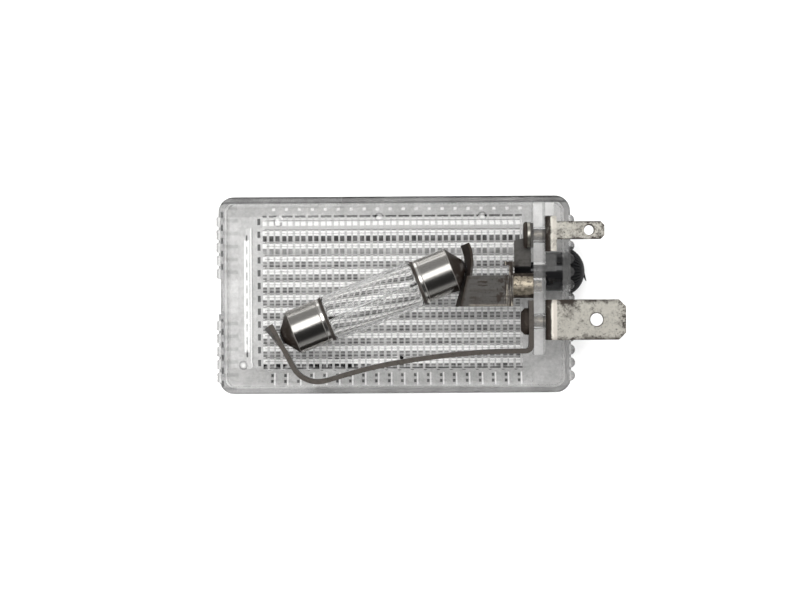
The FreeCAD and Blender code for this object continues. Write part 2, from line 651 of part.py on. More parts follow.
def long_contact_strip():
    """Strip from the wall along the lower side of the box, round behind the bulb's far cap."""
    wall_x = CARRIER_X - STRIP_THICK / 2
    bend_y = STRIP_BEND_INSET - INNER_Y
    centre = V(wall_x - STRIP_BEND, bend_y, 0)
    turn_end = centre + V(0, -STRIP_BEND, 0)
    down = Part.makeLine(V(wall_x, STRIP_TOP_Y, 0), V(wall_x, bend_y, 0))
    diagonal = V(STRIP_BEND, -STRIP_BEND, 0) * math.sqrt(0.5)
    bend = Part.Arc(V(wall_x, bend_y, 0), centre + diagonal, turn_end).toShape()
    hook = V(LEFT_TIP.x + STRIP_HOOK_X, STRIP_HOOK_INSET - INNER_Y, 0)
    last, end = from_point(LEFT_TIP, STRIP_TAIL_FROM_TIP)
    points = [turn_end] + from_point(V(0, -INNER_Y, 0), STRIP_FROM_WALL) + [hook, last]
    run = Part.BSplineCurve()
    run.interpolate(Points=points, InitialTangent=V(-1, 0, 0), FinalTangent=(end - points[-1]).normalize())
    top_z = STRIP_LOW_Z + STRIP_WIDTH
    strip = swept_strip([down, bend, run.toShape()], STRIP_THICK, STRIP_LOW_Z, top_z)
    heading = (end - last).normalize()
    half = STRIP_THICK / 2
    side = V(-heading.y, heading.x, 0) * half
    root = upright_section(last - heading * MERGE, side, STRIP_LOW_Z, top_z, 0, 0)
    twisted = upright_section(end, side, STRIP_LOW_Z, top_z, STRIP_TWIST_LOW / half, -STRIP_TWIST_TOP / half)
    tail = Part.makeLoft([root, twisted], True, True)
    return fused(strip, tail).cut(rivet_hole(LARGE_RIVET_Y))


def bulb_placed(shape):
    shape.rotate(V(0, 0, 0), UP, BULB_ANGLE)
    shape.translate(V(BULB_X, BULB_Y, BULB_Z))
    return shape


def lead_wire(sign):
    wire = rod_along(LEAD_RADIUS, LEAD_INNER_END, BULB_HALF - CAP_CONE / 2)
    return wire if sign > 0 else wire.mirror(V(0, 0, 0), ALONG)


def bulb_glass():
    """Glass tube, sealed at both ends round the lead wires."""
    neck_start = CAP_INNER_END
    body_end = neck_start - GLASS_SHOULDER
    outside = turned([(-GLASS_END, 0), (-GLASS_END, GLASS_NECK), (-neck_start, GLASS_NECK),
                      (-body_end, GLASS_RADIUS), (body_end, GLASS_RADIUS), (neck_start, GLASS_NECK),
                      (GLASS_END, GLASS_NECK), (GLASS_END, 0)])
    inner_end = neck_start - GLASS_WALL
    inner_neck = GLASS_NECK - GLASS_WALL
    inner = GLASS_RADIUS - GLASS_WALL
    inside = turned([(-inner_end, 0), (-inner_end, inner_neck), (-body_end, inner), (body_end, inner),
                     (inner_end, inner_neck), (inner_end, 0)])
    return outside.cut([inside, lead_wire(1), lead_wire(-1)])


def bulb_cap(sign):
    barrel_end = BULB_HALF - CAP_CONE
    rim = CAP_RADIUS + CAP_RIM
    rim_end = CAP_INNER_END + CAP_RIM_LENGTH
    tip = BULB_HALF - CAP_WALL
    cap = turned([
        (CAP_INNER_END, CAP_RADIUS - CAP_WALL), (CAP_INNER_END, rim), (rim_end, CAP_RADIUS),
        (barrel_end, CAP_RADIUS), (tip, CAP_TIP_RADIUS), (tip, LEAD_RADIUS), (tip - CAP_WALL, LEAD_RADIUS),
        (tip - CAP_WALL, CAP_TIP_RADIUS - CAP_WALL), (barrel_end, CAP_RADIUS - CAP_WALL)])
    return cap if sign > 0 else cap.mirror(V(0, 0, 0), ALONG)


def solder_tip(sign):
    tip = BULB_HALF - CAP_WALL
    outline = [(tip + CAP_WALL * rise, CAP_TIP_RADIUS * share) for rise, share in SOLDER_STEPS]
    drop = turned([(tip, 0)] + outline + [(BULB_HALF, 0)])
    return drop if sign > 0 else drop.mirror(V(0, 0, 0), ALONG)


def filament():
    """Fine wire that sags a little between the two leads."""
    ends = (V(-LEAD_INNER_END, 0, 0), V(LEAD_INNER_END, 0, 0))
    path = Part.Wire([Part.Arc(ends[0], V(0, 0, -FILAMENT_SAG), ends[1]).toShape()])
    heading = path.Edges[0].tangentAt(path.Edges[0].FirstParameter)
    start = path.Edges[0].valueAt(path.Edges[0].FirstParameter)
    corners = []
    for index in range(FILAMENT_SIDES + 1):
        turn = math.tau * index / FILAMENT_SIDES
        side = ACROSS * math.cos(turn) + heading.cross(ACROSS) * math.sin(turn)
        corners.append(start + side * FILAMENT_RADIUS)
    return path.makePipe(Part.Face(Part.makePolygon(corners)))


def nodes():
    strip_left = CARRIER_X - STRIP_THICK
    washer_left = CARRIER_X - LEAF_THICK - WASHER_THICK
    terminal_right = CARRIER_RIGHT + TAB_THICK
    return {
        "lens_housing": lens_housing(),
        "switch_knob": switch_knob(),
        "switch_cam": switch_cam(),
        "switch_leaf": switch_leaf(),
        "contact_bracket": contact_bracket(),
        "long_contact_strip": long_contact_strip(),
        "large_tab_terminal": large_tab_terminal(),
        "small_tab_terminal": small_tab_terminal(),
        "large_rivet": rivet(strip_left - LARGE_RIVET_HEAD_THICK, LARGE_RIVET_HEAD_THICK, terminal_right,
                             LARGE_RIVET_Y),
        "small_rivet": rivet(washer_left - SMALL_RIVET_HEAD_THICK, SMALL_RIVET_HEAD_THICK, terminal_right,
                             SMALL_RIVET_Y),
        "centre_rivet": centre_rivet(),
        "spacer_bush": spacer_bush(),
        "rivet_washer": rivet_washer(),
        "bulb_glass": bulb_placed(bulb_glass()),
        "bulb_cap_left": bulb_placed(bulb_cap(-1)),
        "bulb_cap_right": bulb_placed(bulb_cap(1)),
        "lead_wire_left": bulb_placed(lead_wire(-1)),
        "lead_wire_right": bulb_placed(lead_wire(1)),
        "solder_tip_left": bulb_placed(solder_tip(-1)),
        "solder_tip_right": bulb_placed(solder_tip(1)),
        "filament": bulb_placed(filament()),
    }


os.makedirs("parts", exist_ok=True)
for name, shape in nodes().items():
    shape.exportStep("parts/" + name + ".step")
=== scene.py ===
"""Finished look of a car map light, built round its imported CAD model."""

import math

import bpy
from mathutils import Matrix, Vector


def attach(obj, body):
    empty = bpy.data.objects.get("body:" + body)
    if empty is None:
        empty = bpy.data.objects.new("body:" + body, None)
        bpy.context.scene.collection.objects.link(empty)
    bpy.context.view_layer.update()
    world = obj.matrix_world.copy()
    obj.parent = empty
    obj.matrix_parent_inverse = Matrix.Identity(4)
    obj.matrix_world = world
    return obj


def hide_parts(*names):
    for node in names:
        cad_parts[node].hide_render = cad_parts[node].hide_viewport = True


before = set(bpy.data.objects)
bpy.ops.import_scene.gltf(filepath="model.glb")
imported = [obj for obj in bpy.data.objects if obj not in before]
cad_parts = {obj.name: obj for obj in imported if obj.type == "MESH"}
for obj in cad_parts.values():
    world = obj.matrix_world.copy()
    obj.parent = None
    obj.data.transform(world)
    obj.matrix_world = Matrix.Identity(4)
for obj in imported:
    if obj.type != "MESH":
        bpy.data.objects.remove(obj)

bl_info = {
    "name": "Car map light",
    "version": (1, 0, 0),
    "blender": (4, 2, 0),
    "location": "3D View > Sidebar > Map light",
    "description": "Builds the finished pieces of a car map light and its studio",
    "category": "Object",
}

MM = 0.001
TINY = 1e-6

# Places of the lens's optics, in millimetres
PRISM_FIRST = -20.85
PRISM_LAST = 20.15
PRISM_PITCH = 2.05
FLUTE_MIDDLE = 9.135
FLUTE_PITCH = 2.03
GRID_LOW = -11.4
GRID_HIGH = 12.4
GRID_MIDDLE = (GRID_LOW + GRID_HIGH) / 2
GRID_HALF = (GRID_HIGH - GRID_LOW) / 2
TOP_ROW_Y = 11.35
SECOND_ROW_Y = 8.97
THIRD_ROW_Y = 6.94
LAST_ROW_Y = -10.9

# Places in one prism or in one flute, as shares of the pitch
WIDE_BAR = 0.405
NARROW_BAR = 0.905
LIT_BAND = 0.85
SHADED_BAND = 0.42
THIN_DASH = 0.086
LOWER_DASH = 0.29
UPPER_DASH = 0.56

# Other places on the lens, in millimetres
END_RIBS_X = -28.05
RIB_SHADE_X = -26.95
PANEL_X = -25.85
STAY_X = -23.35
STAY_Y = -0.1
GROOVE_X = -23.27
COLUMN_X = -21.45
CROSS_WALL_X = 22.1
UPPER_COVE_Y = 13.6
LOWER_COVE_Y = -13.2
TEETH_Y = -13.1
PLATE_Z = 0.9
BRIM_Z = 9.3
SPECK = (1.03, -9.98)
ROUND_MARKS = ((-24.0, -11.0), (-18.4, 11.6), (-2.4, 12.3), (13.9, 12.4))

# Places on the knob and the metals, in millimetres
HUB_END_X = 27.0
LARGE_TAB_Y = -4.05
SMALL_TAB_Y = 9.88
TAB_BEND_X = 23.85
LARGE_HOLE = (31.4, -4.05)
SMALL_HOLE = (30.36, 9.98)
BRACKET_BEND_X = 17.9
SCUFFS_X = 13.7
SMEARS_X = 16.5
BUSH_Y = 1.33

# Painted light and shade in the lens's tint, standing in for the light that it refracts: tones of the plain
# plastic, the cells and the bars
PLAIN_TONE = 0.5
CELL_TONE = 0.67
BAR_TONE = 0.6

# Refraction
PLASTIC_IOR = 1.5
GLASS_IOR = 1.5

# Colours of the painted highlight beside the tabs' bend, of paler places on the contact metal, of a bright
# ring on the caps, and of dust
BEND_HIGHLIGHT_TIN = (0.72, 0.67, 0.6)
PALE_CONTACT = (0.6, 0.54, 0.45)
BRIGHT_NICKEL = (0.9, 0.88, 0.84)
DUST = (0.03, 0.03, 0.029)

# Angles in degrees and counts for the meshes
LENS_SMOOTH = 25
CAP_SMOOTH = 30
PIECE_SMOOTH = 35
GLASS_SMOOTH = 40
FLAT_ANGLE = 0.5
EDGE_ANGLE = 40
EDGE_SEGMENTS = 2
GLASS_STEPS = 96
SHOULDER_STEPS = 6
BURR_SIDES = 8

# The burr's tip against its root, and its thickness against its width
BURR_TIP = 0.2
BURR_FLATNESS = 0.6

# Studio
FLOOR_SIZE = 4.0
FLOOR_DROP = 0.00002
CLIP_START = 0.01
ROOM_GREY = (0.38, 0.38, 0.38)
CEILING_GREY = (0.03, 0.03, 0.03)
# Name, place, width, height, power, and whether reflections and refractions show the lamp
LAMPS = (
    ("softbox north", (0.0, 0.26, 0.75), 0.9, 0.36, 2.4, True),
    ("softbox west", (-0.3, 0.05, 0.75), 0.12, 0.6, 0.7, True),
    ("overhead fill", (0.0, 0.0, 0.7), 2.6, 2.6, 34.0, False),
)


class MapLightSizes(bpy.types.PropertyGroup):
    """Sizes of the pieces that are modelled here, and of the studio."""

    camera_height: bpy.props.FloatProperty(
        name="Camera height", description="Height of the camera over the floor",
        default=0.635, unit="LENGTH",
    )
    camera_x: bpy.props.FloatProperty(
        name="Camera X", description="Place of the camera along the lens",
        default=0.00082, unit="LENGTH",
    )
    camera_y: bpy.props.FloatProperty(
        name="Camera Y", description="Place of the camera across the lens",
        default=-0.00082, unit="LENGTH",
    )
    camera_roll: bpy.props.FloatProperty(
        name="Camera roll", description="Turn of the camera about its view",
        default=math.radians(-0.35), unit="ROTATION",
    )
    camera_lens: bpy.props.FloatProperty(
        name="Camera lens", description="Focal length in millimetres", default=180.0, unit="CAMERA"
    )
    edge_bevel: bpy.props.FloatProperty(
        name="Edge bevel", description="Rounding of the sheet metal's edges",
        default=0.00006, unit="LENGTH",
    )
    bulb_x: bpy.props.FloatProperty(
        name="Bulb X", description="Middle of the bulb along the lens",
        default=-0.00345, unit="LENGTH",
    )
    bulb_y: bpy.props.FloatProperty(
        name="Bulb Y", description="Middle of the bulb across the lens",
        default=-0.00096, unit="LENGTH",
    )
    bulb_z: bpy.props.FloatProperty(
        name="Bulb Z", description="Height of the bulb's axis", default=0.0096, unit="LENGTH"
    )
    bulb_angle: bpy.props.FloatProperty(
        name="Bulb angle", description="Turn of the bulb in the lens",
        default=math.radians(21.3), unit="ROTATION",
    )
    glass_radius: bpy.props.FloatProperty(
        name="Glass radius", description="Outside radius of the glass",
        default=0.0037, unit="LENGTH",
    )
    glass_wall: bpy.props.FloatProperty(
        name="Glass wall", description="Thickness of the glass", default=0.0005, unit="LENGTH"
    )
    glass_neck: bpy.props.FloatProperty(
        name="Glass neck", description="Radius of the glass inside a cap",
        default=0.00305, unit="LENGTH",
    )
    glass_end: bpy.props.FloatProperty(
        name="Glass end", description="Half length of the glass", default=0.0094, unit="LENGTH"
    )
    glass_shoulder: bpy.props.FloatProperty(
        name="Glass shoulder", description="Length of the glass's rounding",
        default=0.0009, unit="LENGTH",
    )
    cap_start: bpy.props.FloatProperty(
        name="Cap start", description="Distance of a cap's rim from the bulb's middle",
        default=0.00745, unit="LENGTH",
    )
    burr_length: bpy.props.FloatProperty(
        name="Burr length", description="Length of the burr on the knob's face",
        default=0.0015, unit="LENGTH",
    )
    burr_radius: bpy.props.FloatProperty(
        name="Burr radius", description="Half width of the burr at its root",
        default=0.00028, unit="LENGTH",
    )
    burr_lean: bpy.props.FloatProperty(
        name="Burr lean", description="Turn of the burr away from the face",
        default=math.radians(-20), unit="ROTATION",
    )
    burr_place: bpy.props.FloatVectorProperty(
        name="Burr place", description="Middle of the burr",
        subtype="TRANSLATION", default=(0.02985, 0.0027, 0.0056),
    )


class MapLightColours(bpy.types.PropertyGroup):
    """Colours of the finishes."""

    plastic: bpy.props.FloatVectorProperty(
        name="Clear plastic", description="Tint of the lens",
        subtype="COLOR", default=(0.995, 0.99, 0.98),
    )
    glass: bpy.props.FloatVectorProperty(
        name="Glass", description="Tint of the bulb's glass",
        subtype="COLOR", default=(0.99, 0.99, 0.985),
    )
    black: bpy.props.FloatVectorProperty(
        name="Black plastic", description="Colour of the knob",
        subtype="COLOR", default=(0.006, 0.006, 0.0065),
    )
    nickel: bpy.props.FloatVectorProperty(
        name="Nickel", description="Colour of the bulb's caps",
        subtype="COLOR", default=(0.48, 0.465, 0.44),
    )
    tin: bpy.props.FloatVectorProperty(
        name="Tin", description="Colour of the tabs", subtype="COLOR", default=(0.54, 0.52, 0.465)
    )
    contact: bpy.props.FloatVectorProperty(
        name="Contact metal", description="Colour of the bracket and the leaf",
        subtype="COLOR", default=(0.104, 0.1, 0.094),
    )
    strip: bpy.props.FloatVectorProperty(
        name="Strip metal", description="Colour of the long strip",
        subtype="COLOR", default=(0.108, 0.097, 0.087),
    )
    brass: bpy.props.FloatVectorProperty(
        name="Brass", description="Colour of the rivets and the bush",
        subtype="COLOR", default=(0.58, 0.51, 0.4),
    )
    tarnish: bpy.props.FloatVectorProperty(
        name="Tarnish", description="Brown film on the metals",
        subtype="COLOR", default=(0.022, 0.016, 0.012),
    )
    wire: bpy.props.FloatVectorProperty(
        name="Wire", description="Colour of the bulb's wires",
        subtype="COLOR", default=(0.1, 0.095, 0.09),
    )
    solder: bpy.props.FloatVectorProperty(
        name="Solder", description="Colour of the solder drops",
        subtype="COLOR", default=(0.55, 0.55, 0.55),
    )
    floor: bpy.props.FloatVectorProperty(
        name="Floor", description="Colour of the floor", subtype="COLOR", default=(0.93, 0.93, 0.93)
    )


class Value:
    """A shader socket that takes part in arithmetic."""

    def __init__(self, finish, socket):
        self.finish = finish
        self.socket = socket

    def worked(self, operation, first, second):
        """The outcome of one step of arithmetic on two values."""
        return self.finish.add("ShaderNodeMath", {"operation": operation}, {0: first, 1: second})

    def __add__(self, other):
        return self.worked("ADD", self, other)

    def __radd__(self, other):
        return self.worked("ADD", other, self)

    def __sub__(self, other):
        return self.worked("SUBTRACT", self, other)

    def __rsub__(self, other):
        return self.worked("SUBTRACT", other, self)

    def __mul__(self, other):
        return self.worked("MULTIPLY", self, other)

    def __truediv__(self, other):
        return self.worked("DIVIDE", self, other)

    def size(self):
        return self.finish.add("ShaderNodeMath", {"operation": "ABSOLUTE"}, {0: self})

    def fraction(self):
        return self.finish.add("ShaderNodeMath", {"operation": "FRACT"}, {0: self})

    def near(self, middle, half, soft):
        """One within a distance of a middle value, and zero outside it."""
        return (self - middle).size().ramp(half - soft, half + soft, 1.0, 0.0)

    def ramp(self, low, high, first=0.0, last=1.0):
        """Runs smoothly from first at low to last at high, and stays there."""
        sockets = {0: self, 1: low, 2: high, 3: first, 4: last}
        return self.finish.add("ShaderNodeMapRange", {"interpolation_type": "SMOOTHSTEP"}, sockets)


class Shades:
    """A node tree that is filled by plain calls."""

    def __init__(self, tree):
        self.tree = tree

    def add(self, kind, settings, sockets, output=0):
        node = self.tree.nodes.new(kind)
        for name, value in settings.items():
            setattr(node, name, value)
        for key, value in sockets.items():
            self.feed(node.inputs[key], value)
        return Value(self, node.outputs[output])

    def feed(self, socket, value):
        if isinstance(value, Value):
            self.tree.links.new(value.socket, socket)
        elif socket.type == "RGBA" and len(value) == 3:
            socket.default_value = (*value, 1.0)
        else:
            socket.default_value = value

    def axes(self, place):
        split = self.add("ShaderNodeSeparateXYZ", {}, {0: place})
        return [Value(self, socket) for socket in split.socket.node.outputs]

    def mix(self, share, first, second):
        """The first colour where the share is 0 and the second where it is 1."""
        return self.add("ShaderNodeMix", {"data_type": "RGBA"}, {0: share, 6: first, 7: second}, 2)


class Finish(Shades):
    """A material on one Principled shader."""

    def __init__(self, name, **constants):
        self.material = bpy.data.materials.new(name)
        self.material.use_nodes = True
        super().__init__(self.material.node_tree)
        self.shader = self.tree.nodes["Principled BSDF"]
        self.set(**constants)
        here = self.add("ShaderNodeTexCoord", {}, {}, "Object")
        self.place = self.add("ShaderNodeVectorMath", {"operation": "SCALE"}, {0: here, "Scale": 1 / MM})
        self.x, self.y, self.z = self.axes(self.place)

    def set(self, **inputs):
        for name, value in inputs.items():
            socket = name.replace("_", " ").title().replace("Ior", "IOR")
            self.feed(self.shader.inputs[socket], value)

    def square_from(self, place):
        """The squared distance from a place, seen along Z."""
        x, y = self.x - place[0], self.y - place[1]
        return x * x + y * y

    def stretched(self, scale):
        """The place in millimetres, drawn out along each axis by its scale."""
        sockets = {"Vector": self.place, "Scale": scale}
        return self.add("ShaderNodeMapping", {"vector_type": "TEXTURE"}, sockets)

    def noise(self, scale, detail=3.0, place=None, rough=0.55):
        sockets = {"Vector": place or self.place, "Scale": scale, "Detail": detail, "Roughness": rough}
        return self.add("ShaderNodeTexNoise", {}, sockets)

    def bump(self, height, strength, distance):
        sockets = {"Height": height, "Strength": strength, "Distance": distance}
        return self.add("ShaderNodeBump", {}, sockets)


def colours():
    return bpy.context.scene.map_light_colours


def sizes():
    return bpy.context.scene.map_light_sizes


def lens_grid(finish, prism, flute):
    """Painted light and shade of the cells that the prisms and flutes refract: two columns of cells a
    prism, one row a flute.
    """
    x, y = finish.x, finish.y
    # Painted shade in the bars, dashes, first rows and foot; painted light in the lit stripes
    bars = prism.near(WIDE_BAR, 0.1, 0.03) + prism.near(NARROW_BAR, 0.068, 0.03)
    top = y.ramp(10.75, 10.85)
    lit = flute.near(LIT_BAND, 0.17, 0.03) * (1.0 - top) + y.near(TOP_ROW_Y, 0.33, 0.05) * top
    shaded = flute.near(SHADED_BAND, 0.22, 0.03) * y.ramp(10.2, 10.4, 1.0, 0.3)
    pair = flute.near(LOWER_DASH, 0.07, 0.03) + flute.near(UPPER_DASH, 0.06, 0.04) * 0.8
    dash = flute.near(THIN_DASH, 0.035, 0.02) * 1.4 + pair * y.ramp(5.8, 6.0, 1.0, 0.0)
    uneven = finish.noise(0.45).ramp(0.35, 0.65)
    first_rows = y.near(SECOND_ROW_Y, 0.8, 0.1) * 0.26 + y.near(THIRD_ROW_Y, 0.8, 0.1) * 0.08
    foot = y.near(LAST_ROW_Y, 0.95, 0.15) * x.ramp(-8.0, -3.0, 1.0, 0.3) * uneven
    cells = CELL_TONE + lit * (1.0 - CELL_TONE) - shaded * (0.12 + first_rows + uneven * 0.14)
    cells = cells - dash * 0.2 - foot * 0.36
    return bars.ramp(0.0, 1.0, cells, BAR_TONE)


def end_painted_tones(finish, flute, grain):
    """Painted highlights and shade on the left end and its stay, each with the tone that it adds."""
    x, y = finish.x, finish.y
    height = (y - GRID_MIDDLE).size()
    # Painted shade from the end ribs' images, the stay's groove, the column and stripes across the panel; a
    # painted highlight along the stay and the end ribs
    column = x.near(COLUMN_X, 0.23, 0.05) * flute.near(0.8, 0.3, 0.04)
    column = column * height.ramp(GRID_HALF, GRID_HALF + 0.1, 1.0, 0.0)
    groove = x.near(GROOVE_X, 0.13, 0.04) * y.near(STAY_Y, 9.6, 0.2)
    groove = groove * flute.near(0.5, 0.3, 0.08).ramp(0.0, 1.0, 0.4, 1.0)
    ledge = x.near(STAY_X, 0.45, 0.05) * y.near(STAY_Y, 8.8, 0.2) + x.near(END_RIBS_X, 0.25, 0.05)
    rib_shade = x.near(RIB_SHADE_X, 0.17, 0.04) * flute.near(0.22, 0.24, 0.04) * y.size().ramp(3.4, 3.8)
    panel = x.near(PANEL_X, 1.05, 0.08)
    bands = panel * flute.near(0.84, 0.14, 0.05) * y.size().ramp(2.6, 2.9)
    return (
        (panel * y.near(STAY_Y, 2.6, 0.1), 0.04),
        (bands, -0.02 - grain * 0.12),
        (ledge, 0.4),
        (groove, -0.45),
        (rib_shade, -0.42),
        (column, -0.28 - grain * 0.3),
    )


def cove_painted_tones(finish, prism, grain, across):
    """Painted highlights and shade on the coves along the long walls, each with the tone that it adds."""
    y = finish.y
    height = (y - GRID_MIDDLE).size()
    # Painted highlights in dots and thin lines on the coves; painted shade at the grid's foot and in the
    # teeth
    dots = y.near(UPPER_COVE_Y, 0.22, 0.08) * prism.near(0.86, 0.12, 0.05)
    dots = dots * grain.ramp(0.35, 0.65, 0.45, 1.0)
    foot = height.near(GRID_HALF + 0.12, 0.12, 0.04) * (1.0 - prism.near(WIDE_BAR, 0.085, 0.03))
    teeth = (y - TEETH_Y).size().near(0.45, 0.24, 0.06) * (prism - 0.9).size().near(0.19, 0.1, 0.04)
    cove_light_lines = y.near(LOWER_COVE_Y, 0.95, 0.1) * prism.near(0.9, 0.05, 0.03)
    return (
        (across * (dots + cove_light_lines), 0.45),
        (across * foot, -0.32),
        (across * teeth, -0.1 - grain * 0.45),
    )


def brim_painted_tones(finish, grain, brim):
    """Painted light and shade on the top of the rim and of the cross wall, each with the tone that it adds.
    """
    x, y = finish.x, finish.y
    # Painted highlight on the cross wall's top; painted shade along the rim's edges, stronger towards +Y,
    # and left of X = -8.3 mm to even out a tone step on the rim
    tone_share = brim * y.ramp(-1.0, 1.0, 0.3, 1.0)
    wall = x.near(CROSS_WALL_X, 0.95, 0.05) * y.size().ramp(14.0, 14.2, 1.0, 0.0)
    edges = y.size().ramp(15.0, 15.2) + y.size().near(14.45, 0.14, 0.05)
    rim = (grain.ramp(0.35, 0.65) + x.ramp(-8.35, -8.2, 1.3, 0.0)) * y.size().ramp(14.3, 14.5)
    return ((wall * brim, 0.16), (edges * tone_share, -0.2), (rim * tone_share, -0.1))


def clear_plastic():
    """Clear plastic whose tint holds painted light and shade where its prisms, flutes, coves, rims, ends
    and moulding marks refract light, with painted shade on the right end; a dark speck lies on its plate.
    """
    finish = Finish("clear plastic", transmission_weight=0.9, ior=PLASTIC_IOR)
    x, y, z = finish.x, finish.y, finish.z
    prism = ((x - PRISM_FIRST) / PRISM_PITCH).fraction()
    flute = ((y - FLUTE_MIDDLE) / FLUTE_PITCH + 0.5).fraction()
    cloud = finish.noise(0.3).ramp(0.3, 0.7)
    grain = finish.noise(2.2, 4.0)
    across = x.near((PRISM_FIRST + PRISM_LAST) / 2, (PRISM_LAST - PRISM_FIRST) / 2, 0.05)
    grid = across * (y - GRID_MIDDLE).size().ramp(GRID_HALF - 0.05, GRID_HALF + 0.05, 1.0, 0.0)
    brim = z.ramp(BRIM_Z - 0.1, BRIM_Z + 0.1)
    # Painted grey of the plain plastic with random tone, and painted shade beyond the end ribs
    plain = PLAIN_TONE + cloud * 0.08 + (grain - 0.5) * 0.24 - x.size().ramp(27.5, 27.6) * 0.14
    ends = end_painted_tones(finish, flute, grain)
    coves = cove_painted_tones(finish, prism, grain, across)
    for painted_patch, tone in (*ends, *coves, *brim_painted_tones(finish, grain, brim)):
        plain = plain + painted_patch * tone
    # The clear value holds painted light and shade: the grid's cells inside the grid, the painted grey
    # outside it
    clear = grid.ramp(0.0, 1.0, plain, lens_grid(finish, prism, flute))
    # Painted shade in a ring and a painted highlight in the middle of each of the round moulding marks
    for place in ROUND_MARKS:
        away = finish.square_from(place)
        clear = clear - away.near(0.4, 0.16, 0.06) * 0.16 + away.ramp(0.02, 0.2, 0.2, 0.0)
    clear = clear.ramp(0.0, 1.0)
    aside = x - SPECK[0]
    speck = aside.near(0.0, 0.27, 0.04) * (y - SPECK[1] + aside * 0.4).near(0.0, 0.3, 0.04)
    clear = clear * (1.0 - speck)
    stay = x.near(STAY_X, 0.6, 0.05)
    above = z.ramp(PLATE_Z, PLATE_Z + 0.1)
    upper = above * (z.ramp(3.0, 7.0, 1.0, 0.0) + brim + stay).ramp(0.0, 1.0)
    # The walls stay nearly clear, with painted shade right of X = 20.5 mm on the right end
    walls = z.ramp(PLATE_Z, PLATE_Z + 0.1, 1.0, x.ramp(20.5, 21.0, 0.94, 0.58) - cloud * 0.12)
    amount = upper.ramp(0.0, 1.0, walls, clear * clear * 0.86)
    finish.set(base_color=finish.mix(amount, (0.0, 0.0, 0.0), tuple(colours().plastic)))
    finish.set(roughness=cloud * 0.05 + z.ramp(0.6, PLATE_Z, 0.3, 0.0))
    return finish.material


def bulb_glass():
    """Clear glass with a faint haze in places."""
    finish = Finish("bulb glass", transmission_weight=1.0, ior=GLASS_IOR)
    finish.set(base_color=tuple(colours().glass))
    finish.set(roughness=finish.noise(0.9).ramp(0.4, 0.8, 0.0, 0.02))
    return finish.material


def black_plastic():
    """Matt black plastic with a little dust, glossier on the hub inside the box."""
    finish = Finish("black plastic", ior=1.2, specular_ior_level=0.3)
    grain = finish.noise(9.0)
    dust = finish.noise(2.2).ramp(0.62, 0.8)
    finish.set(base_color=finish.mix(dust * 0.2, tuple(colours().black), DUST))
    finish.set(roughness=grain.ramp(0.3, 0.7, 0.38, 0.62))
    finish.set(coat_weight=finish.x.ramp(HUB_END_X, HUB_END_X + 0.4, 1.0, 0.0))
    finish.set(normal=finish.bump(grain, 0.15, 0.05 * MM))
    return finish.material


def tarnished(name, colour, film, scale, rough):
    """A metal under a film of tarnish in patches, blotches and specks."""
    finish = Finish(name)
    patches = finish.noise(scale, 4.0).ramp(0.42, 0.68)
    blotches = finish.noise(scale * 3.1, 5.0).ramp(0.5, 0.66)
    specks = finish.noise(scale * 9.0, 2.0).ramp(0.6, 0.7)
    finish.film = (patches * 0.4 + blotches * 0.35 + specks * 0.5) * film
    finish.colour = tuple(colour)
    finish.rough = rough
    return finish


def settled(finish, film=None, colour=None):
    """Sets a tarnished metal's shader from its film and its colour."""
    film = finish.film if film is None else film
    share = film.ramp(0.0, 1.0)
    finish.set(base_color=finish.mix(share, colour or finish.colour, tuple(colours().tarnish)))
    finish.set(metallic=share.ramp(0.0, 1.0, 1.0, 0.3))
    finish.set(roughness=share.ramp(0.0, 1.0, finish.rough, finish.rough + 0.35))
    finish.set(normal=finish.bump(film, 0.25, 0.04 * MM))
    return finish.material


def tab_metal():
    """Tinned blades with browned edges and holes, painted shade on the bend and a painted highlight beside
    it.
    """
    finish = tarnished("tab metal", colours().tin, 0.7, 0.33, 0.36)
    x, y = finish.x, finish.y
    large = y.ramp(1.0, 1.2, 1.0, 0.0)
    small = 1.0 - large
    wobble = (finish.noise(2.0) - 0.5) * 0.35
    clouds = finish.noise(0.3, 6.0, None, 0.7).ramp(0.42, 0.66)
    grain = finish.noise(3.4, 3.0).ramp(0.42, 0.72)
    sides = (y - LARGE_TAB_Y + wobble * 1.5).size().ramp(2.2, 3.15) * large
    small_sides = (y - SMALL_TAB_Y + wobble).size().ramp(1.05, 1.4) * x.ramp(25.2, 25.4)
    sides = sides + small_sides * small
    # Painted shade on the bend, carried in the film, and a painted highlight beside it
    bend = (x + wobble * 0.4).near(TAB_BEND_X, 0.45, 0.1)
    bright = (x + wobble * 0.5).near(TAB_BEND_X + 1.0, 0.4, 0.12) * small.ramp(0.0, 1.0, 1.0, 0.35)
    tips = (x + wobble * 2.0).ramp(34.3, 35.9) * (0.3 + grain * 0.4)
    tips = tips + (x + wobble * 3.0).ramp(28.5, 32.5) * small * (0.15 + grain * 0.3)
    rings = finish.square_from(LARGE_HOLE).ramp(1.1, 1.5, 1.0, 0.0)
    rings = rings + finish.square_from(SMALL_HOLE).ramp(0.62, 0.95, 1.0, 0.0)
    marks = finish.film + clouds * 0.38 + grain * 0.24
    # The film holds tarnish and also the painted shade on the bend
    film = marks * (1.0 - bright) + sides * 0.55 + bend * (0.7 + grain * 0.3) + tips + rings * 0.6
    return settled(finish, film, finish.mix(bright, finish.colour, BEND_HIGHLIGHT_TIN))


